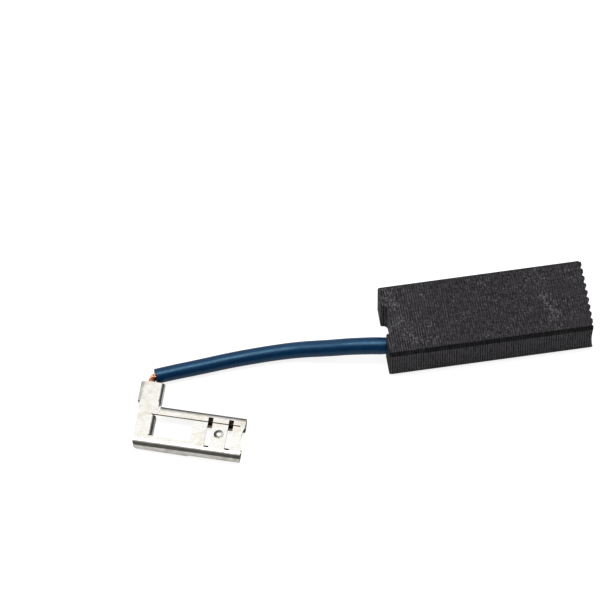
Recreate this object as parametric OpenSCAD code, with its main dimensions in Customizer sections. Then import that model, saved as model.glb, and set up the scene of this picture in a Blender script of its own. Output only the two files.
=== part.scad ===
// Carbon brush for a small commutator motor: a ground carbon block with a serrated contact
// face, an insulated copper lead tamped into its back, and a folded flag receptacle.
// X runs along the block towards the contact face, Z is up, and the block stands on Z = 0.

/* [Block] */
// Length of the block, from its back to the crest of the contact face
block_l = 32; // [20:0.5:45]
// Width of the block across its two broad faces
block_w = 12.5; // [10:0.5:16]
// Thickness of the block, the way it slides on the commutator
block_t = 6.3; // [5:0.1:8]
// Chamfer along the four long edges
edge_chamfer = 0.5; // [0.2:0.05:0.9]
// Worn radius of the two upright edges at the contact end
front_corner_r = 0.6; // [0.3:0.05:1]
// Radius of the two upright edges at the back
back_corner_r = 0.5; // [0.1:0.05:0.7]

/* [Contact face] */
// Diameter of the commutator that the contact face is ground hollow to fit
commutator_d = 36; // [24:1:60]
// Distance from one bedding groove to the next
serration_pitch = 1.28; // [1:0.02:1.6]
// Depth of a bedding groove below the crest
serration_depth = 0.42; // [0.2:0.02:0.7]
// Width of a bedding groove at the face
serration_w = 0.95; // [0.5:0.05:0.98]
// Flat at the bottom of a bedding groove
serration_floor = 0.14; // [0.06:0.02:0.3]
// Distance from the far side of the block to the first groove's middle
serration_start = 0.2; // [0:0.05:0.6]
// Height of the contact face's crown across the width
face_crown = 0.15; // [0.05:0.01:0.3]

/* [Spring groove] */
// Width of the groove in the back that guides the spring finger
groove_w = 5; // [3.5:0.1:5.6]
// Depth of the spring groove
groove_depth = 1.05; // [1:0.05:1.8]
// Radius at the bottom corners of the spring groove
groove_r = 0.7; // [0.2:0.05:0.7]
// Radius worn on the groove's two mouth edges
groove_lip_r = 0.3; // [0.1:0.05:0.3]
// Offset of the spring groove's middle from the middle of the block
groove_y = 0.15; // [-0.5:0.05:0.5]

/* [Lead] */
// Outer diameter of the insulation
sleeve_d = 2.5; // [2:0.05:3]
// Diameter of the stranded copper conductor
conductor_d = 1.1; // [0.8:0.05:1.4]
// Radial gap between the conductor and the bores that it lies in
conductor_gap = 0.06; // [0.03:0.01:0.1]
// Offset of the lead from the middle of the block, towards the near side
lead_y = -2.6; // [-3.2:0.1:-2]
// Length of insulation inside the block, from its back face
sleeve_entry = 3; // [2:0.25:4.5]
// Radial gap between the insulation and its hole in the block
sleeve_gap = 0.05; // [0.02:0.01:0.12]

/* [Tamped joint] */
// Depth of the drilled hole to the start of its cone
hole_depth = 10; // [7:0.5:14]
// Point angle of the drill
drill_angle = 118; // [90:1:140]
// Radial gap between the tamped powder and the hole
powder_gap = 0.02; // [0.01:0.01:0.05]
// Powder left between the conductor's end and the start of the cone
powder_floor = 1.2; // [0.5:0.1:2.5]

/* [Receptacle] */
// Thickness of the tinned brass sheet
sheet_t = 0.35; // [0.25:0.01:0.4]
// Length of the receptacle's body, from its closed end to its mouth
body_l = 16.75; // [15.5:0.25:20]
// Width of the body over its rolled sides
body_w = 7.5; // [7:0.1:8.5]
// Height of the body, which is the outer diameter of the rolled sides
body_h = 2.2; // [2:0.05:2.6]
// Length of the rolled part that grips the tab
roll_l = 8; // [7:0.25:9]
// Angle that the sheet turns through in each rolled side
roll_sweep = 255; // [200:1:260]
// Height of the side flange above the rest plane at the closed end
flange_lift = 0.75; // [0.4:0.05:1]
// Radius of the body's corner at the closed end
body_corner_r = 0.8; // [0.3:0.1:1.2]

/* [Receptacle top] */
// Length of the window behind the rolled part
window_l = 5.85; // [4:0.05:6.5]
// Width of the window, and of the lowered strip in line with it
window_w = 3.84; // [3:0.02:4.2]
// Width of the stop bent down from the window's closed end
stop_w = 3.5; // [2.8:0.05:3.7]
// Outer radius of the stop's bend
stop_r = 0.75; // [0.4:0.05:0.8]
// Reach of the stop below the sheet's top
stop_reach = 1.35; // [1:0.05:1.7]
// Depth that the strip is lowered by
strip_drop = 0.18; // [0.1:0.01:0.25]
// Length of the strip, from the window towards the mouth
strip_l = 7.3; // [5:0.1:7.8]
// Length of each cross slot
slot_l = 5.7; // [5:0.05:5.9]
// Width of each cross slot
slot_w = 0.75; // [0.5:0.05:1]
// Distance from the window to the middle of the first slot
slot_start = 2.6; // [1.8:0.1:3]
// Distance between the middles of the two slots
slot_pitch = 3.2; // [2.8:0.1:3.6]
// Diameter of the detent dimple at the sheet's surface
dimple_d = 1.55; // [1:0.05:1.8]
// Depth of the detent dimple
dimple_depth = 0.3; // [0.15:0.01:0.35]
// Length of the shallow notch across the mouth's top edge
mouth_notch_w = 3.4; // [2:0.1:4]
// Depth of the mouth's notch
mouth_notch_depth = 0.35; // [0.15:0.01:0.5]

/* [Crimp leg] */
// Width of the leg that stands off the body's side
leg_w = 3; // [2.8:0.1:3.6]
// Reach of the leg beyond the body's side
leg_l = 3.7; // [3.3:0.1:5]
// Length of the crimp barrel at the leg's end
barrel_l = 3.4; // [2.5:0.1:3.5]
// Width over the crimp barrel
barrel_w = 3.84; // [3.4:0.02:4.2]
// Height over the crimp barrel
barrel_h = 1.5; // [1.35:0.05:1.7]
// Inner radius where each wing turns up into the conductor
wing_tip_r = 0.1; // [0.05:0.01:0.15]
// Gap between the backs of the two wings
wing_seam = 0.06; // [0.04:0.01:0.12]
// Width of the conductor where the wings flatten it
pressed_w = 2.6; // [2:0.05:2.7]
// Height of the conductor where the wings flatten it
pressed_h = 0.5; // [0.4:0.01:0.52]
// Length of bare conductor that stands out past the barrel's inner end
tail_l = 0.4; // [0.2:0.05:0.6]
// Length over which the conductor spreads as it enters the barrel
spread_l = 0.9; // [0.5:0.1:1.4]

/* [Hidden] */

$fn = 64;
// overlap given to every cutter
cut = 1;
// facets of the two large arcs of the contact face
crown_fn = 1440;
commutator_fn = 256;
sleeve_sides = 8;
conductor_sides = 12;

// Section of the conductor: 1 is an ellipse, and less squares it up
round_section = 1;
mouth_section = 0.9;
neck_section = 0.7;
pressed_section = 0.6;
// Width of the conductor at the barrel's mouth, over its round width
mouth_swell = 1.2;
// Distance that the conductor has begun to flatten over, outside the barrel
mouth_lead = 0.12;

back_x = -block_l / 2;
crown_r = (pow(block_w / 2, 2) + pow(face_crown, 2)) / (2 * face_crown);
commutator_r = commutator_d / 2;
commutator_x = block_l / 2 + sqrt(pow(commutator_r, 2) - pow(block_t / 2, 2));
serrations = floor((block_w - serration_start) / serration_pitch) + 1;
hole_d = sleeve_d + 2 * sleeve_gap;
lead_z = block_t / 2;
lead_bore_d = conductor_d + 2 * conductor_gap;

roll_r = body_h / 2;
flat_w = body_w - 2 * roll_r;
window_x = body_l - roll_l - window_l;
roll_x = body_l - roll_l;
leg_end = body_w / 2 + leg_l;
barrel_r = barrel_h / 2;
barrel_flat = barrel_w - 2 * barrel_r;
tip_x = wing_seam / 2 + sheet_t + wing_tip_r;
pressed_z = body_h - sheet_t - conductor_gap - pressed_h / 2;

// Place of the receptacle's closed end, and the angle that its body has turned through
rest_place = [-56.06, -9.48, 0];
rest_angle = -18;

// Middle line of the insulated lead from the block's back to its free end
lead_route = [
    [-18, -2.3, 3.15],
    [-20, -2.02, 3.1],
    [-22, -1.7, 2.9],
    [-24, -1.35, 2.53],
    [-26, -0.98, 2.18],
    [-28, -0.6, 1.85],
    [-30, -0.3, 1.52],
    [-32, -0.17, 1.35],
    [-34, -0.13, 1.25],
    [-36, -0.19, 1.25],
    [-38.5, -0.3, 1.25],
    [-41, -0.47, 1.25],
    [-43.5, -0.7, 1.25],
    [-46, -0.91, 1.25],
    [-49, -1.15, 1.25],
    [-51.8, -1.43, 1.25]
];
// Middle line of the bare conductor between the insulation and the crimp
bare_route = [
    [-52.05, -1.53, 1.2],
    [-52.3, -1.84, 1.2],
    [-52.5, -2.2, 1.35]
];

// The straight run of the lead inside its hole and square to the block's back
function entry(depth) = [back_x + depth, lead_y, lead_z];

// A point given along and across the receptacle, brought to where the receptacle lies
function at_rest(p) = rest_place + [
    p.x * cos(rest_angle) - p.y * sin(rest_angle),
    p.x * sin(rest_angle) + p.y * cos(rest_angle),
    p.z
];

function unit(v) = v / norm(v);
function heading(path, i) = unit(path[min(i + 1, len(path) - 1)] - path[max(i - 1, 0)]);

// One ring of a swept section: half sizes half.x and half.y, and half.z under 1 squares it up
function swell(c, power) = sign(c) * pow(abs(c), power);
function ring(centre, dir, half, sides) =
    let (across = unit(cross([0, 0, 1], dir)), up = cross(dir, across))
    [for (k = [0 : sides - 1])
        let (a = 360 * k / sides - 90)
        centre + across * half.x * swell(cos(a), half.z) + up * half.y * swell(sin(a), half.z)];

// Two triangles for each side of a band between ring a and ring b
function band(a, b, sides) = [for (k = [0 : sides - 1])
    let (n = (k + 1) % sides)
    each [[a + k, a + n, b + n], [a + k, b + n, b + k]]];

// A solid rod through rings of changing section
module swept_rod(path, halves, sides) {
    rings = len(path);
    points = [for (i = [0 : rings - 1]) each ring(path[i], heading(path, i), halves[i], sides)];
    sides_mesh = [for (i = [0 : rings - 2]) each band(i * sides, (i + 1) * sides, sides)];
    first = [for (k = [1 : sides - 2]) [0, k + 1, k]];
    last = [for (k = [1 : sides - 2]) [for (v = [0, k, k + 1]) v + (rings - 1) * sides]];
    polyhedron(points, concat(sides_mesh, first, last), convexity = 6);
}

// A hollow tube of constant section
module swept_tube(path, r_out, r_in, sides) {
    rings = len(path);
    inner = rings * sides;
    last = (rings - 1) * sides;
    outer_pts = [for (i = [0 : rings - 1])
        each ring(path[i], heading(path, i), [r_out, r_out, round_section], sides)];
    inner_pts = [for (i = [0 : rings - 1])
        each ring(path[i], heading(path, i), [r_in, r_in, round_section], sides)];
    skin = [for (i = [0 : rings - 2]) each band(i * sides, (i + 1) * sides, sides)];
    bore = [for (i = [0 : rings - 2])
        each band(inner + (i + 1) * sides, inner + i * sides, sides)];
    ends = concat(band(inner, 0, sides), band(last, inner + last, sides));
    polyhedron(concat(outer_pts, inner_pts), concat(skin, bore, ends), convexity = 6);
}

// Brings a profile drawn across and up to run along X
module along_x(length) {
    rotate([90, 0, 90]) linear_extrude(length) children();
}

// A bend in sheet of outer radius r, from angle start through sweep, length along Z
module bend(r, start, sweep, length) {
    rotate([0, 0, start]) rotate_extrude(angle = sweep)
        translate([r - sheet_t, 0]) square([sheet_t, length]);
}

// What a rounded upright edge leaves of a sharp corner at the origin, which points to +X +Y
module corner_waste(r) {
    linear_extrude(block_t + 2 * cut) difference() {
        translate([-r, -r]) square([r + cut, r + cut]);
        translate([-r, -r]) circle(r);
    }
}

// Bar with chamfered long edges, left long at the end that is ground
module block_bar() {
    half = block_w / 2;
    c = edge_chamfer;
    translate([back_x, 0, 0]) along_x(block_l + cut) polygon([
        [-half + c, 0], [half - c, 0], [half, c], [half, block_t - c],
        [half - c, block_t], [-half + c, block_t], [-half, block_t - c], [-half, c]
    ]);
}

// What grinding takes off the contact face: a hollow to the commutator's radius, crowned across
// the width, and the grooves round it that let a new face bed in
module contact_grinding() {
    translate([commutator_x, 0, block_t / 2]) rotate([-90, 0, 0])
        rotate_extrude($fn = commutator_fn) translate([commutator_r, 0]) {
            difference() {
                translate([-2 * cut, -block_w / 2 - cut])
                    square([2 * (cut + face_crown), block_w + 2 * cut]);
                translate([crown_r, 0]) circle(crown_r, $fn = crown_fn);
            }
            for (i = [0 : serrations - 1])
                translate([0, block_w / 2 - serration_start - i * serration_pitch]) polygon([
                    [-cut, -serration_w / 2], [0, -serration_w / 2],
                    [serration_depth, -serration_floor / 2], [serration_depth, serration_floor / 2],
                    [0, serration_w / 2], [-cut, serration_w / 2]
                ]);
        }
}

// Groove with rounded corners that takes the spring's finger
module spring_groove() {
    half = groove_w / 2;
    translate([back_x, groove_y, -cut]) linear_extrude(block_t + 2 * cut) {
        translate([-cut, -half]) square([groove_depth - groove_r + cut, groove_w]);
        translate([-cut, groove_r - half]) square([groove_depth + cut, groove_w - 2 * groove_r]);
        for (side = [-1, 1]) {
            translate([groove_depth - groove_r, side * (half - groove_r)]) circle(groove_r);
            translate([0, side * half]) difference() {
                translate([-cut, -groove_lip_r]) square([cut + groove_lip_r, 2 * groove_lip_r]);
                translate([groove_lip_r, side * groove_lip_r]) circle(groove_lip_r);
            }
        }
    }
}

// Drilled hole, or the powder in it, as a revolve about X from depth start to the drill's point
module drilled(r, start) {
    point = r / tan(drill_angle / 2);
    translate([back_x, lead_y, lead_z]) rotate([0, 90, 0]) rotate_extrude()
        polygon([[0, start], [r, start], [r, hole_depth], [0, hole_depth + point]]);
}

module carbon_block() {
    color([0.17, 0.17, 0.18]) difference() {
        block_bar();
        contact_grinding();
        spring_groove();
        drilled(hole_d / 2, -cut);
        for (side = [0, 1]) mirror([0, side, 0]) {
            translate([block_l / 2, block_w / 2, -cut]) corner_waste(front_corner_r);
            mirror([1, 0, 0]) translate([-back_x, block_w / 2, -cut]) corner_waste(back_corner_r);
        }
    }
}

// Copper powder rammed round the conductor, which locks it into the hole
module tamping_powder() {
    color([0.45, 0.3, 0.22]) difference() {
        drilled(hole_d / 2 - powder_gap, sleeve_entry);
        translate([back_x + sleeve_entry - cut, lead_y, lead_z]) rotate([0, 90, 0])
            cylinder(h = hole_depth - powder_floor - sleeve_entry + cut, d = lead_bore_d);
    }
}

// Stranded copper, round in the lead and pressed flat in the crimp
module conductor() {
    r = conductor_d / 2;
    inner_end = hole_depth - powder_floor - conductor_gap;
    round_path = concat([entry(inner_end), entry(sleeve_entry), entry(0)], lead_route, bare_route);
    barrel_x = leg_w / 2;
    entry_x = barrel_x - r / 2;
    neck = (r + pressed_w / 2) / 2;
    neck_path = [for (along = [-mouth_lead, spread_l / 2])
        at_rest([entry_x, leg_end - along, pressed_z])];
    pressed_path = [for (along = [spread_l, barrel_l, barrel_l + tail_l])
        at_rest([barrel_x, leg_end - along, pressed_z])];
    path = concat(round_path, neck_path, pressed_path);
    halves = concat(
        [for (p = round_path) [r, r, round_section]],
        [[r * mouth_swell, (pressed_h + conductor_gap) / 2, mouth_section]],
        [[neck, pressed_h / 2, neck_section]],
        [for (p = pressed_path) [pressed_w / 2, pressed_h / 2, pressed_section]]
    );
    color([0.78, 0.45, 0.3]) swept_rod(path, halves, conductor_sides);
}

// Insulation over the conductor, from inside the block to the bare end at the crimp
module insulation_sleeve() {
    path = concat([entry(sleeve_entry), entry(0)], lead_route);
    bore_r = lead_bore_d / 2 / cos(180 / sleeve_sides);
    color([0.05, 0.2, 0.45]) swept_tube(path, sleeve_d / 2, bore_r, sleeve_sides);
}

// Flat sheet of the body and its leg, with the window and the two slots cut out
module receptacle_sheet() {
    translate([0, 0, body_h - sheet_t]) linear_extrude(sheet_t) difference() {
        union() {
            translate([0, -flat_w / 2]) square([body_l + cut, flat_w]);
            square([leg_w, leg_end - barrel_l]);
            translate([(leg_w - barrel_flat) / 2, 0]) square([barrel_flat, leg_end]);
        }
        top_cuts();
        translate([window_x + window_l, -window_w / 2]) square([strip_l, window_w]);
    }
}

// Outline of every opening in the sheet's top
module top_cuts() {
    translate([window_x - stop_r, -window_w / 2]) square([window_l + stop_r, window_w]);
    for (i = [0, 1])
        translate([roll_x + slot_start + i * slot_pitch, 0]) square([slot_w, slot_l], center = true);
    notch_r = (pow(mouth_notch_w / 2, 2) + pow(mouth_notch_depth, 2)) / (2 * mouth_notch_depth);
    translate([body_l - mouth_notch_depth + notch_r, 0]) circle(notch_r);
}

// Strip pressed down against the tab, with the detent dimple between the slots
module lowered_strip() {
    top = body_h - strip_drop;
    ball_r = (pow(dimple_d / 2, 2) + pow(dimple_depth, 2)) / (2 * dimple_depth);
    ball_at = [roll_x + slot_start + slot_pitch / 2, 0, top + ball_r - dimple_depth];
    difference() {
        union() {
            translate([0, 0, top - sheet_t]) linear_extrude(sheet_t) difference() {
                translate([roll_x, -window_w / 2]) square([strip_l, window_w]);
                top_cuts();
            }
            intersection() {
                translate(ball_at) rotate([90, 0, 0]) sphere(ball_r + sheet_t);
                translate([ball_at.x, 0, top - sheet_t - ball_r])
                    cylinder(h = ball_r + sheet_t / 2, r = ball_r + sheet_t);
            }
        }
        translate(ball_at) rotate([90, 0, 0]) sphere(ball_r);
    }
}

// Stop for the tab's end, bent down from the window's closed end
module tab_stop() {
    translate([window_x - stop_r, stop_w / 2, body_h - stop_r]) rotate([90, 0, 0])
        bend(stop_r, 0, 90, stop_w);
    translate([window_x - sheet_t, -stop_w / 2, body_h - stop_reach])
        cube([sheet_t, stop_w, stop_reach - stop_r]);
}

// Side of the body: a flange behind, which becomes a full roll along the tab's length
module body_side(flange_from) {
    translate([0, body_w / 2 - roll_r, roll_r]) {
        translate([roll_x, 0, 0]) rotate([90, 0, 90])
            bend(roll_r, 90 - roll_sweep, roll_sweep, roll_l + cut);
        translate([flange_from, 0, 0]) rotate([90, 0, 90]) bend(roll_r, 0, 90, roll_x - flange_from);
    }
    translate([0, body_w / 2, 0]) rotate([90, 0, 0]) linear_extrude(sheet_t)
        polygon([[flange_from, flange_lift], [roll_x, roll_r / 2], [roll_x, roll_r], [flange_from, roll_r]]);
}

// Leg's wings, folded down and in so that they bite the flattened conductor
module crimp_wing() {
    low = body_h - barrel_h;
    translate([barrel_flat / 2, 0, body_h - barrel_r]) rotate([90, 0, 0])
        bend(barrel_r, -90, 180, barrel_l);
    translate([tip_x, -barrel_l, low]) cube([barrel_flat / 2 - tip_x, barrel_l, sheet_t]);
    translate([tip_x, 0, low + sheet_t + wing_tip_r]) rotate([90, 0, 0])
        bend(sheet_t + wing_tip_r, 180, 90, barrel_l);
}

module flag_receptacle() {
    color([0.8, 0.79, 0.75]) translate(rest_place) rotate([0, 0, rest_angle]) difference() {
        union() {
            receptacle_sheet();
            lowered_strip();
            tab_stop();
            body_side(leg_w + sheet_t);
            mirror([0, 1, 0]) body_side(0);
            for (side = [0, 1])
                translate([leg_w / 2, leg_end, 0]) mirror([side, 0, 0]) crimp_wing();
        }
        translate([0, -body_w / 2, 0]) rounded_end();
        translate([body_l, -body_w, -cut]) cube([2 * cut, 2 * body_w, body_h + 2 * cut]);
    }
}

// Waste outside the rounded corner at the body's closed end
module rounded_end() {
    translate([0, 0, -cut]) linear_extrude(body_h + 2 * cut) difference() {
        translate([-cut, -cut]) square([body_corner_r + cut, body_corner_r + cut]);
        translate([body_corner_r, body_corner_r]) circle(body_corner_r);
    }
}

carbon_block();
tamping_powder();
conductor();
insulation_sleeve();
flag_receptacle();
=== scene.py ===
"""Looks of the carbon brush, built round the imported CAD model.

Named lengths are millimetres, and MM turns them into the frame's metres.
"""

import math

import bmesh
import bpy
import numpy as np
from mathutils import Matrix, Vector


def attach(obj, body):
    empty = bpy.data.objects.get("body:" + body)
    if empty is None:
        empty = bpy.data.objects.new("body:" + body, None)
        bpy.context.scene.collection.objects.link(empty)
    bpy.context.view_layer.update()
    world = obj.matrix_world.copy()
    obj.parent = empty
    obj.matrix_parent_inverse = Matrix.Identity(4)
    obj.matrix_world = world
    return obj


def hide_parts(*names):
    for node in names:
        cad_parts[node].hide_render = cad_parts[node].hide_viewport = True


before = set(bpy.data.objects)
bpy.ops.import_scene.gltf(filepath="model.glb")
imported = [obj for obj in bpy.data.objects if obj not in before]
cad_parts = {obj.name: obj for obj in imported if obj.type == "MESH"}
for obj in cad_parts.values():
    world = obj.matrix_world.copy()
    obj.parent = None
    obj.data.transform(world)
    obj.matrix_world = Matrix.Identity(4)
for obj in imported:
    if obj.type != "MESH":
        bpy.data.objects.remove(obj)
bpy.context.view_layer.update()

MM = 0.001


# ---------------------------------------------------------------- camera

# Aim and distance in metres, and the lens and its sensor in millimetres.
AIM = Vector((-27.6, 9.3, 0)) * MM
AZIMUTH, ELEVATION, ROLL = math.radians(-8.5), math.radians(59.97), math.radians(-0.34)
DISTANCE = 1.2423
LENS, SENSOR = 480, 36


def make_camera():
    """Long lens that looks down at sixty degrees, from a little to the left."""
    data = bpy.data.cameras.new("camera")
    data.lens, data.sensor_width = LENS, SENSOR
    data.clip_start, data.clip_end = 0.05, 20
    cam = bpy.data.objects.new("camera", data)
    bpy.context.scene.collection.objects.link(cam)
    flat = math.cos(ELEVATION)
    back = Vector((math.sin(AZIMUTH) * flat, -math.cos(AZIMUTH) * flat, math.sin(ELEVATION)))
    right = Vector((math.cos(AZIMUTH), math.sin(AZIMUTH), 0))
    up = back.cross(right)
    turned = right * math.cos(ROLL) + up * math.sin(ROLL)
    upright = up * math.cos(ROLL) - right * math.sin(ROLL)
    matrix = Matrix((turned, upright, back)).transposed().to_4x4()
    matrix.translation = AIM + back * DISTANCE
    cam.matrix_world = matrix
    bpy.context.scene.camera = cam


# ---------------------------------------------------------------- sizes and the lead's route, as in the CAD

# Millimetres. SLEEVE_ENTRY and INNER_END are how deep the insulation and the strands go into the block.
SLEEVE_D, BORE_D, CONDUCTOR_D = 2.5, 1.22, 1.1
BACK_X, LEAD_Y, LEAD_Z = -16, -2.6, 3.15
INNER_END, SLEEVE_ENTRY = 8.74, 3
LEAD_ROUTE = [
    (-18, -2.3, 3.15), (-20, -2.02, 3.1), (-22, -1.7, 2.9), (-24, -1.35, 2.53),
    (-26, -0.98, 2.18), (-28, -0.6, 1.85), (-30, -0.3, 1.52), (-32, -0.17, 1.35),
    (-34, -0.13, 1.25), (-36, -0.19, 1.25), (-38.5, -0.3, 1.25), (-41, -0.47, 1.25),
    (-43.5, -0.7, 1.25), (-46, -0.91, 1.25), (-49, -1.15, 1.25), (-51.8, -1.43, 1.25),
]
BARE_ROUTE = [(-52.05, -1.53, 1.2), (-52.3, -1.84, 1.2), (-52.5, -2.2, 1.35)]
# The receptacle's place on the floor, its crimp with the strands pressed flat in it, and its rolled sides.
REST_PLACE, REST_ANGLE = (-56.06, -9.48, 0), math.radians(-18)
LEG_END, BARREL_X, BARREL_L, TAIL_L, PRESSED_Z = 7.45, 1.5, 3.4, 0.4, 1.54
PRESSED_W, PRESSED_H = 2.6, 0.5
ROLL_R, ROLL_Y, SHEET_T = 1.1, 2.65, 0.35


def entry(depth):
    """The middle of the lead's hole, at a depth in the block."""
    return (BACK_X + depth, LEAD_Y, LEAD_Z)


def at_rest(along, across, up):
    """A point given in the receptacle's own directions, where the receptacle lies."""
    c, s = math.cos(REST_ANGLE), math.sin(REST_ANGLE)
    return (
        REST_PLACE[0] + along * c - across * s,
        REST_PLACE[1] + along * s + across * c,
        REST_PLACE[2] + up,
    )


def smooth_line(points, step):
    """Points about step apart on one smooth curve through the given ones."""
    p = np.array(points, float)
    span = np.concatenate([[0], np.cumsum(np.linalg.norm(np.diff(p, axis=0), axis=1) ** 0.5)])
    ghost = np.vstack([2 * p[0] - p[1], p, 2 * p[-1] - p[-2]])
    knots = np.concatenate([[-span[1]], span, [2 * span[-1] - span[-2]]])
    out = []
    for i in range(len(p) - 1):
        t0, t1, t2, t3 = knots[i : i + 4]
        a, b, c, d = ghost[i : i + 4]
        count = max(2, round(np.linalg.norm(c - b) / step))
        for t in np.linspace(t1, t2, count, endpoint=False):
            ab = (t1 - t) / (t1 - t0) * a + (t - t0) / (t1 - t0) * b
            bc = (t2 - t) / (t2 - t1) * b + (t - t1) / (t2 - t1) * c
            cd = (t3 - t) / (t3 - t2) * c + (t - t2) / (t3 - t2) * d
            left = (t2 - t) / (t2 - t0) * ab + (t - t0) / (t2 - t0) * bc
            right = (t3 - t) / (t3 - t1) * bc + (t - t1) / (t3 - t1) * cd
            out.append((t2 - t) / (t2 - t1) * left + (t - t1) / (t2 - t1) * right)
    out.append(p[-1])
    return np.array(out)


def frames_along(line):
    """For each point of a line, the level direction across it and the one square to both."""
    heading = np.gradient(line, axis=0)
    heading /= np.linalg.norm(heading, axis=1)[:, None]
    across = np.cross(np.array([0, 0, 1.0]), heading)
    across /= np.linalg.norm(across, axis=1)[:, None]
    return across, np.cross(heading, across)


def add_tube(bm, rings):
    """Joins rings of as many points each into a tube in bm, and closes its ends."""
    rows = [[bm.verts.new(Vector(p) * MM) for p in ring] for ring in rings]
    sides = len(rows[0])
    for low, high in zip(rows, rows[1:]):
        for k in range(sides):
            n = (k + 1) % sides
            bm.faces.new((low[k], low[n], high[n], high[k]))
    bm.faces.new(rows[0][::-1])
    bm.faces.new(rows[-1])


def add_piece(name, bm, material, stands_for):
    """Makes a visible piece of bm, which is shown instead of the CAD node it stands for."""
    bmesh.ops.recalc_face_normals(bm, faces=bm.faces)
    mesh = bpy.data.meshes.new(name)
    bm.to_mesh(mesh)
    bm.free()
    for face in mesh.polygons:
        face.use_smooth = True
    piece = bpy.data.objects.new(name, mesh)
    bpy.context.scene.collection.objects.link(piece)
    piece.data.materials.append(material)
    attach(piece, "root")
    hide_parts(stands_for)
    return piece


# ---------------------------------------------------------------- materials


class Look:
    """A procedural material. Its patterns follow the object's own directions."""

    def __init__(self, name, roughness=0.5, metallic=0.0):
        self.material = bpy.data.materials.new(name)
        self.material.use_nodes = True
        self.tree = self.material.node_tree
        self.tree.nodes.clear()
        self.shader = self.add("ShaderNodeBsdfPrincipled")
        self.tree.links.new(
            self.shader.outputs[0], self.add("ShaderNodeOutputMaterial").inputs["Surface"]
        )
        self.shader.inputs["Roughness"].default_value = roughness
        self.shader.inputs["Metallic"].default_value = metallic
        self.place = self.add("ShaderNodeTexCoord").outputs["Object"]

    def add(self, kind, **settings):
        node = self.tree.nodes.new(kind)
        for key, value in settings.items():
            setattr(node, key, value)
        return node

    def put(self, socket, value):
        if isinstance(value, bpy.types.NodeSocket):
            self.tree.links.new(value, socket)
        else:
            socket.default_value = value

    def noise(self, size, detail, rough, shift=(0, 0, 0)):
        """Noise whose grain is size = (x, y, z) millimetres."""
        at = self.add("ShaderNodeMapping")
        self.put(at.inputs["Vector"], self.place)
        at.inputs["Scale"].default_value = [1 / (s * MM) for s in size]
        at.inputs["Location"].default_value = shift
        node = self.add("ShaderNodeTexNoise")
        self.put(node.inputs["Vector"], at.outputs[0])
        node.inputs["Scale"].default_value = 1.0
        node.inputs["Detail"].default_value = detail
        node.inputs["Roughness"].default_value = rough
        return node.outputs[0]

    def wave(self, direction, pitch, distortion, detail, detail_scale):
        """Bands square to a direction, pitch millimetres apart."""
        node = self.add("ShaderNodeTexWave", wave_type="BANDS", bands_direction=direction)
        self.put(node.inputs["Vector"], self.place)
        node.inputs["Scale"].default_value = math.pi / 10 / (pitch * MM)
        node.inputs["Distortion"].default_value = distortion
        node.inputs["Detail"].default_value = detail
        node.inputs["Detail Scale"].default_value = detail_scale
        return node.outputs["Fac"]

    def cells(self, size):
        """Distance from the nearest of many scattered points, about size = (x, y, z) millimetres apart."""
        at = self.add("ShaderNodeMapping")
        self.put(at.inputs["Vector"], self.place)
        at.inputs["Scale"].default_value = [1 / (s * MM) for s in size]
        node = self.add("ShaderNodeTexVoronoi", feature="F1")
        self.put(node.inputs["Vector"], at.outputs[0])
        node.inputs["Scale"].default_value = 1.0
        return node.outputs["Distance"]

    def normal(self):
        """The face's own direction, in parts."""
        node = self.add("ShaderNodeSeparateXYZ")
        self.put(node.inputs[0], self.add("ShaderNodeNewGeometry").outputs["True Normal"])
        return node.outputs

    def span(self, value, low, high, to_low=0.0, to_high=1.0):
        """Turns low to high into to_low to to_high, smoothly, and holds it beyond them."""
        node = self.add("ShaderNodeMapRange", interpolation_type="SMOOTHSTEP")
        for socket, v in zip(node.inputs, (value, low, high, to_low, to_high)):
            self.put(socket, v)
        return node.outputs[0]

    def calc(self, operation, a, b=0.0):
        node = self.add("ShaderNodeMath", operation=operation)
        self.put(node.inputs[0], a)
        self.put(node.inputs[1], b)
        return node.outputs[0]

    def total(self, *terms):
        """Sum of (value, weight) pairs."""
        out = None
        for value, weight in terms:
            term = value if weight == 1 else self.calc("MULTIPLY", value, weight)
            out = term if out is None else self.calc("ADD", out, term)
        return out

    def blend(self, share, a, b):
        node = self.add("ShaderNodeMix", data_type="RGBA")
        self.put(node.inputs["Factor"], share)
        for socket, v in zip([s for s in node.inputs if s.type == "RGBA"], (a, b)):
            self.put(socket, (*v, 1) if isinstance(v, tuple) else v)
        return [s for s in node.outputs if s.type == "RGBA"][0]

    def parts(self):
        """The place's x, y and z."""
        node = self.add("ShaderNodeSeparateXYZ")
        self.put(node.inputs[0], self.place)
        return node.outputs

    def relief(self, height, depth):
        """Bump whose full height is depth millimetres."""
        node = self.add("ShaderNodeBump")
        node.inputs["Strength"].default_value = 1.0
        node.inputs["Distance"].default_value = depth * MM
        self.put(node.inputs["Height"], height)
        self.put(self.shader.inputs["Normal"], node.outputs[0])

    def colour(self, value):
        self.put(self.shader.inputs["Base Color"], value)

    def roughness(self, value):
        self.put(self.shader.inputs["Roughness"], value)


# Millimetres. How far apart the saw's ridges are and where along the top they grow faint, the middles of the
# dusty scuff and of the worn back, and where the faces end and the chamfers start.
RIDGE_PITCH, RIDGED_X = 0.37, (-13, -4)
SCUFF_X, WORN_X = 9.6, -13.6
CHAMFER_REACH = 8.83, 9.02


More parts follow.
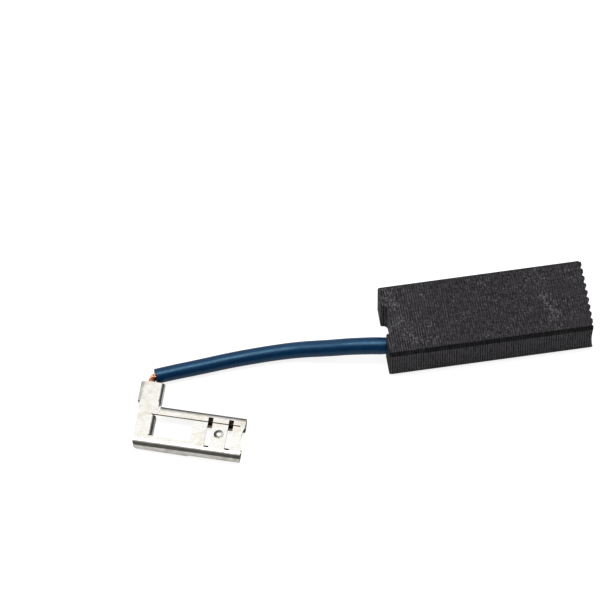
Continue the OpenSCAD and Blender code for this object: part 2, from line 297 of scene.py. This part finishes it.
def carbon_look():
    """Ground electrographite: grinding lines across the length, coarse grain and pale dust."""
    look = Look("ground_carbon")
    x, y, z = look.parts()
    side = look.span(look.calc("ABSOLUTE", look.normal()[1]), 0.5, 0.9)
    lines = look.wave("X", RIDGE_PITCH, 1.6, 2.0, 2.0)
    cross = look.noise((0.2, 1.1, 1.6), 3, 0.6)
    along = look.noise((2.4, 0.22, 0.3), 3, 0.6, (5, 2, 1))
    grain = look.noise((0.3, 0.3, 0.3), 5, 0.75)
    height = look.total((cross, 0.4), (along, 0.18), (grain, 0.42))
    # the sides, and the top toward the back, kept the ridges of the saw
    ridged = look.calc("MAXIMUM", side, look.span(x, *(v * MM for v in RIDGED_X), 0.6, 0.25))
    ridges = look.calc("MULTIPLY", look.calc("SUBTRACT", lines, 0.4), look.calc("MULTIPLY", ridged, 0.22))
    height = look.calc("ADD", height, ridges)
    # painted light: the side faces are made a little lighter in tone, for the light they lack
    height = look.total((height, 1), (side, 0.06))
    tone = look.span(height, 0.43, 0.61)
    base = look.blend(tone, (0.0087, 0.0077, 0.009), (0.057, 0.052, 0.059))
    base = look.blend(look.span(height, 0.56, 0.67), base, (0.137, 0.126, 0.14))
    cloud = look.noise((6, 4, 5), 3, 0.5, (1.3, 0.4, 2))
    base = look.blend(look.span(cloud, 0.45, 0.75, 0, 0.3), base, (0.038, 0.034, 0.037))
    # dust lies in small specks, thicker in a slanting scuff near the contact end and at the worn back
    lean = look.calc("ADD", x, look.calc("MULTIPLY", y, 0.18))
    scuff = look.calc("ABSOLUTE", look.calc("SUBTRACT", lean, SCUFF_X * MM))
    back = look.calc("ADD", look.calc("SUBTRACT", x, WORN_X * MM), look.calc("MULTIPLY", y, 0.35))
    back = look.calc("ABSOLUTE", back)
    thick = look.total(
        (look.noise((2.6, 1.8, 2), 3, 0.5, (7, 3, 0)), 0.5),
        (look.span(scuff, 0, 2.1 * MM, 1, 0), 0.13),
        (look.span(back, 0, 2.4 * MM, 1, 0), 0.12),
    )
    speck = look.cells((0.34, 0.75, 0.6))
    speck = look.span(look.calc("SUBTRACT", thick, look.calc("MULTIPLY", speck, 0.45)), 0.12, 0.26)
    speck = look.calc("MULTIPLY", speck, look.span(grain, 0.42, 0.6))
    base = look.blend(look.calc("MULTIPLY", speck, 0.8), base, (0.21, 0.2, 0.21))
    # the four long chamfers, where y and z together reach furthest, are coloured nearly black
    rise = look.calc("ABSOLUTE", look.calc("SUBTRACT", z, LEAD_Z * MM))
    reach = look.total((look.calc("ABSOLUTE", y), 1), (rise, 1), (grain, 0.12 * MM))
    edge = look.span(reach, *(v * MM for v in CHAMFER_REACH))
    look.colour(look.blend(edge, base, (0.0022, 0.002, 0.0023)))
    look.roughness(look.span(tone, 0, 1, 0.7, 0.52))
    look.shader.inputs["Specular IOR Level"].default_value = 0.16
    look.relief(look.total((height, 1), (speck, 0.1)), 0.11)
    return look.material


def powder_look():
    """Copper powder, rammed hard: matt, with a fine bright grain."""
    look = Look("tamped_copper_powder", roughness=0.7, metallic=0.6)
    grain = look.noise((0.09, 0.09, 0.09), 4, 0.7)
    look.colour(look.blend(look.span(grain, 0.35, 0.65), (0.12, 0.06, 0.035), (0.42, 0.22, 0.13)))
    look.relief(grain, 0.05)
    return look.material


def insulation_look():
    """Smooth extruded plastic with faint draw lines and handling marks."""
    look = Look("blue_insulation")
    draw = look.noise((6, 0.22, 0.22), 3, 0.6)
    marks = look.noise((0.8, 0.35, 0.35), 4, 0.6, (3, 1, 5))
    base = look.blend(look.span(draw, 0.35, 0.7), (0.0, 0.023, 0.077), (0.0, 0.034, 0.112))
    scuff = look.span(marks, 0.6, 0.78)
    look.colour(look.blend(look.calc("MULTIPLY", scuff, 0.08), base, (0.03, 0.1, 0.2)))
    look.roughness(look.span(marks, 0.35, 0.75, 0.3, 0.42))
    look.shader.inputs["Specular IOR Level"].default_value = 0.74
    look.shader.inputs["Specular Tint"].default_value = (0.36, 0.72, 1, 1)
    look.relief(look.total((draw, 1), (marks, 0.5)), 0.01)
    return look.material


def copper_look():
    """Drawn copper wire with a little tarnish."""
    look = Look("bright_copper_strands", roughness=0.3, metallic=1.0)
    tarnish = look.noise((0.6, 0.35, 0.35), 3, 0.6)
    look.colour(look.blend(look.span(tarnish, 0.35, 0.7), (0.9, 0.46, 0.28), (0.6, 0.27, 0.15)))
    look.roughness(look.span(tarnish, 0.3, 0.7, 0.24, 0.42))
    look.relief(look.noise((0.3, 0.06, 0.06), 2, 0.5), 0.004)
    return look.material


# Millimetres. Each pair is where a colour sets in: the heights of the strip's sheared edge and of the
# painted shade under the strip, and how far that shade reaches from the receptacle's middle line.
STRIP_TOP, PAINTED_SHADE_TOP, PAINTED_SHADE_REACH = (1.6, 1.68), (1.4, 1.5), (2.6, 2.7)


def tinned_look():
    """Tinned brass sheet: bright and uneven, brown brass where it was sheared, and a painted shade under the
    strip.
    """
    look = Look("tinned_brass", metallic=1.0)
    x, y, z = look.parts()
    mottle = look.noise((1.3, 1.1, 1.1), 3, 0.55)
    stain = look.span(look.noise((2.4, 1.3, 1.3), 4, 0.6, (4, 9, 2)), 0.5, 0.7)
    base = look.blend(look.span(mottle, 0.38, 0.66), (0.905, 0.89, 0.855), (0.68, 0.66, 0.6))
    base = look.blend(look.calc("MULTIPLY", stain, 0.45), base, (0.6, 0.5, 0.37))
    upright = look.span(look.calc("ABSOLUTE", look.normal()[2]), 0.2, 0.45, 1, 0)
    sheared = look.calc("MULTIPLY", upright, look.span(z, *(v * MM for v in STRIP_TOP)))
    # directions of the receptacle itself: across it, and the distance from its middle line
    c, s = math.cos(REST_ANGLE), math.sin(REST_ANGLE)
    middle = -REST_PLACE[0] * s + REST_PLACE[1] * c
    across = look.total((x, -s), (y, c))
    off = look.calc("ABSOLUTE", look.calc("SUBTRACT", across, middle * MM))
    # the inside faces of the rolls are coloured dull brown, like the sheared edges
    away = look.calc("SUBTRACT", off, ROLL_Y * MM), look.calc("SUBTRACT", z, ROLL_R * MM)
    away = look.calc("SQRT", look.total(*((look.calc("MULTIPLY", v, v), 1) for v in away)))
    inside = look.span(away, (ROLL_R - SHEET_T + 0.05) * MM, (ROLL_R - SHEET_T + 0.15) * MM, 1, 0)
    # painted shade under the strip: low faces near the middle line, between the rails, are coloured
    # near-black brown
    below = look.span(z, *(v * MM for v in PAINTED_SHADE_TOP), 1, 0)
    shade_under_strip = look.calc("MULTIPLY", below, look.span(off, *(v * MM for v in PAINTED_SHADE_REACH), 1, 0))
    base = look.blend(look.calc("MAXIMUM", inside, sheared), base, (0.27, 0.21, 0.145))
    # the near-black brown of the painted shade under the strip
    look.colour(look.blend(shade_under_strip, base, (0.08, 0.062, 0.042)))
    dull = look.calc("MAXIMUM", look.calc("MAXIMUM", inside, shade_under_strip), sheared)
    look.roughness(look.total((look.span(mottle, 0.3, 0.75, 0.13, 0.2), 1), (dull, 0.3)))
    look.relief(look.noise((0.6, 0.6, 0.6), 2, 0.5), 0.002)
    return look.material


# ---------------------------------------------------------------- pieces

# The insulation's rounded lip, its length of open bore, and how much its radius differs from SLEEVE_D / 2
# at four places: its stripped end, the middle of the lead, just outside the block, and the block's back.
LIP, OPEN_BORE = 0.07, 1.2
RADIUS_CHANGE = -0.07, -0.015, 0.09, 0.035
# The strands' wires, how far they run in one turn of the rope, and the sides of each wire and the tube.
WIRE_D, ROPE_LAY = 0.218, 9.0
WIRE_SIDES, TUBE_SIDES = 8, 48


def build_insulation(material):
    """Round tube over the conductor, drawn a little thinner toward its stripped end, with its bore open."""
    line = smooth_line([entry(SLEEVE_ENTRY), entry(0), *LEAD_ROUTE], 0.28)
    across, up = frames_along(line)
    angles = np.linspace(0, 2 * math.pi, TUBE_SIDES, endpoint=False)
    turn = np.cos(angles)[:, None], np.sin(angles)[:, None]

    def ring(i, radius):
        return line[i] + radius * (turn[0] * across[i] + turn[1] * up[i])

    thin = SLEEVE_D / 2 + RADIUS_CHANGE[0]
    places = LEAD_ROUTE[-1][0], LEAD_ROUTE[8][0], BACK_X - 1, BACK_X
    radii = SLEEVE_D / 2 + np.interp(line[:, 0], places, RADIUS_CHANGE)
    rings = [ring(i, radii[i]) for i in range(len(line) - 1)]
    heading = line[-1] - line[-2]
    heading /= np.linalg.norm(heading)
    # over the lip, across the flat end, over the bore's edge and down the bore
    for back, radius in (
        (LIP, thin), (LIP * 0.3, thin - LIP * 0.3), (0, thin - LIP),
        (0, BORE_D / 2 + 0.04), (0.04, BORE_D / 2), (OPEN_BORE, BORE_D / 2),
    ):
        rings.append(ring(-1, radius) - back * heading)
    bm = bmesh.new()
    add_tube(bm, rings)
    piece = add_piece("lead_insulation", bm, material, "insulation_sleeve")
    return piece, line


def build_strands(material):
    """Nineteen wires laid as a rope in the lead, and pressed flat side by side in the crimp."""
    neck = [at_rest(BARREL_X - CONDUCTOR_D / 4, LEG_END - a, PRESSED_Z) for a in (-0.12, 0.45)]
    pressed = [at_rest(BARREL_X, LEG_END - a, PRESSED_Z) for a in (0.9, BARREL_L, BARREL_L + TAIL_L)]
    inner = [entry(INNER_END), entry(SLEEVE_ENTRY), entry(0)]
    line = smooth_line([*inner, *LEAD_ROUTE, *BARE_ROUTE, *neck, *pressed], 0.16)
    across, up = frames_along(line)
    run = np.concatenate([[0], np.cumsum(np.linalg.norm(np.diff(line, axis=0), axis=1))])
    # flat goes from 0 to 1 where the round rope turns into two flat rows at the crimp's mouth
    far = run[-1] - (BARREL_L + TAIL_L) - 0.3
    flat = np.clip((run - far) / 0.9, 0, 1)
    flat = flat * flat * (3 - 2 * flat)
    bm = bmesh.new()
    places = [(0, 0)] + [(1, k / 6) for k in range(6)] + [(2, k / 12) for k in range(12)]
    for n, (layer, share) in enumerate(places):
        lay = 2 * math.pi * (share + run / ROPE_LAY)
        u, v = layer * WIRE_D * np.cos(lay), layer * WIRE_D * np.sin(lay)
        column, row = (n % 10 - 4.5) / 4.5, (n // 10) * 2 - 1
        fu = column * (PRESSED_W / 2 - WIRE_D * 0.75)
        fv = row * (PRESSED_H / 4)
        u, v = u * (1 - flat) + fu * flat, v * (1 - flat) + fv * flat
        centre = line + u[:, None] * across + v[:, None] * up
        side, top = frames_along(centre)
        angles = np.linspace(0, 2 * math.pi, WIRE_SIDES, endpoint=False)
        rings = [
            centre[i] + WIRE_D / 2 * (np.cos(angles)[:, None] * side[i] + np.sin(angles)[:, None] * top[i])
            for i in range(len(line))
        ]
        add_tube(bm, rings)
    return add_piece("copper_strands", bm, material, "conductor")


# ---------------------------------------------------------------- stage and light


FLOOR_DROP = 0.02
# How bright the floor is to the camera itself, and to metal and gloss that mirror it.
SEEN_GLOW, MIRRORED_GLOW = 0.85, 0.18


def make_floor():
    """Pale floor that the camera, metal and gloss see as white, and that keeps the object's shadow."""
    bm = bmesh.new()
    bmesh.ops.create_grid(bm, x_segments=1, y_segments=1, size=1.5)
    mesh = bpy.data.meshes.new("floor")
    bm.to_mesh(mesh)
    bm.free()
    floor = bpy.data.objects.new("floor", mesh)
    floor.location.z = -FLOOR_DROP * MM
    bpy.context.scene.collection.objects.link(floor)
    material = bpy.data.materials.new("pale_floor")
    material.use_nodes = True
    tree = material.node_tree
    tree.nodes.clear()
    path = tree.nodes.new("ShaderNodeLightPath")

    def step(operation, a, b):
        node = tree.nodes.new("ShaderNodeMath")
        node.operation = operation
        for socket, value in zip(node.inputs, (a, b)):
            if isinstance(value, bpy.types.NodeSocket):
                tree.links.new(value, socket)
            else:
                socket.default_value = value
        return node.outputs[0]

    mirrored = step("ADD", path.outputs["Is Glossy Ray"], path.outputs["Is Transmission Ray"])
    seen = step("MULTIPLY", path.outputs["Is Camera Ray"], SEEN_GLOW)
    glow = step("ADD", seen, step("MULTIPLY", mirrored, MIRRORED_GLOW))
    white = tree.nodes.new("ShaderNodeEmission")
    tree.links.new(glow, white.inputs["Strength"])
    matt = tree.nodes.new("ShaderNodeBsdfDiffuse")
    matt.inputs["Color"].default_value = (0.5, 0.5, 0.5, 1)
    both = tree.nodes.new("ShaderNodeAddShader")
    tree.links.new(matt.outputs[0], both.inputs[0])
    tree.links.new(white.outputs[0], both.inputs[1])
    out = tree.nodes.new("ShaderNodeOutputMaterial")
    tree.links.new(both.outputs[0], out.inputs["Surface"])
    mesh.materials.append(material)


def make_world():
    """A white cloth overhead and a dimmer one low at the far left, with a dim room all round."""
    world = bpy.data.worlds.new("cloth_overhead")
    bpy.context.scene.world = world
    world.use_nodes = True
    tree = world.node_tree
    tree.nodes.clear()
    place = tree.nodes.new("ShaderNodeTexCoord")

    def cloth(far, left, full, dark, dim, bright):
        """Light round a direction, given by its parts away from the camera and to the left.

        It is bright within the angle full, in degrees, and fades to dim at the angle dark.
        """
        toward = tree.nodes.new("ShaderNodeVectorMath")
        toward.operation = "DOT_PRODUCT"
        tree.links.new(place.outputs["Generated"], toward.inputs[0])
        toward.inputs[1].default_value = Vector((
            -math.sin(AZIMUTH) * far - math.cos(AZIMUTH) * left,
            math.cos(AZIMUTH) * far - math.sin(AZIMUTH) * left,
            math.sqrt(1 - far * far - left * left),
        ))
        level = tree.nodes.new("ShaderNodeMapRange")
        level.interpolation_type = "SMOOTHSTEP"
        tree.links.new(toward.outputs["Value"], level.inputs[0])
        low, high = math.cos(math.radians(dark)), math.cos(math.radians(full))
        for socket, value in zip(level.inputs[1:], (low, high, dim, bright)):
            socket.default_value = value
        return level.outputs[0]

    brighter = tree.nodes.new("ShaderNodeMath")
    brighter.operation = "MAXIMUM"
    overhead = cloth(far=0.33, left=0.18, full=15, dark=56, dim=0.09, bright=0.95)
    low_left = cloth(far=0.52, left=0.6, full=34, dark=60, dim=0, bright=0.7)
    tree.links.new(overhead, brighter.inputs[0])
    tree.links.new(low_left, brighter.inputs[1])
    path = tree.nodes.new("ShaderNodeLightPath")
    level = tree.nodes.new("ShaderNodeMix")
    level.data_type = "FLOAT"
    tree.links.new(path.outputs["Is Camera Ray"], level.inputs[0])
    tree.links.new(brighter.outputs[0], level.inputs[2])
    level.inputs[3].default_value = 1.0
    back = tree.nodes.new("ShaderNodeBackground")
    back.inputs["Color"].default_value = (1, 1, 1, 1)
    tree.links.new(level.outputs[0], back.inputs["Strength"])
    out = tree.nodes.new("ShaderNodeOutputWorld")
    tree.links.new(back.outputs[0], out.inputs["Surface"])


def make_lamp(name, azimuth, elevation, distance, size, power):
    """Soft rectangular lamp that faces the object: angles in degrees, metres and watts."""
    data = bpy.data.lights.new(name, "AREA")
    data.shape, data.size, data.size_y, data.energy = "RECTANGLE", size[0], size[1], power
    lamp = bpy.data.objects.new(name, data)
    bpy.context.scene.collection.objects.link(lamp)
    a, e = math.radians(azimuth), math.radians(elevation)
    away = Vector((math.sin(a) * math.cos(e), -math.cos(a) * math.cos(e), math.sin(e)))
    lamp.location = AIM + away * distance
    lamp.rotation_mode = "QUATERNION"
    lamp.rotation_quaternion = (-away).to_track_quat("-Z", "Y")


make_camera()
insulation, lead_line = build_insulation(insulation_look())
strands = build_strands(copper_look())
looks = {"carbon_block": carbon_look(), "tamping_powder": powder_look(), "flag_receptacle": tinned_look()}
for node, look in looks.items():
    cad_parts[node].data.materials.clear()
    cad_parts[node].data.materials.append(look)

make_floor()
make_world()
make_lamp("overhead", azimuth=171.5, elevation=81.5, distance=0.6, size=(0.36, 0.26), power=1.65)
bpy.context.scene.view_settings.view_transform = "Standard"
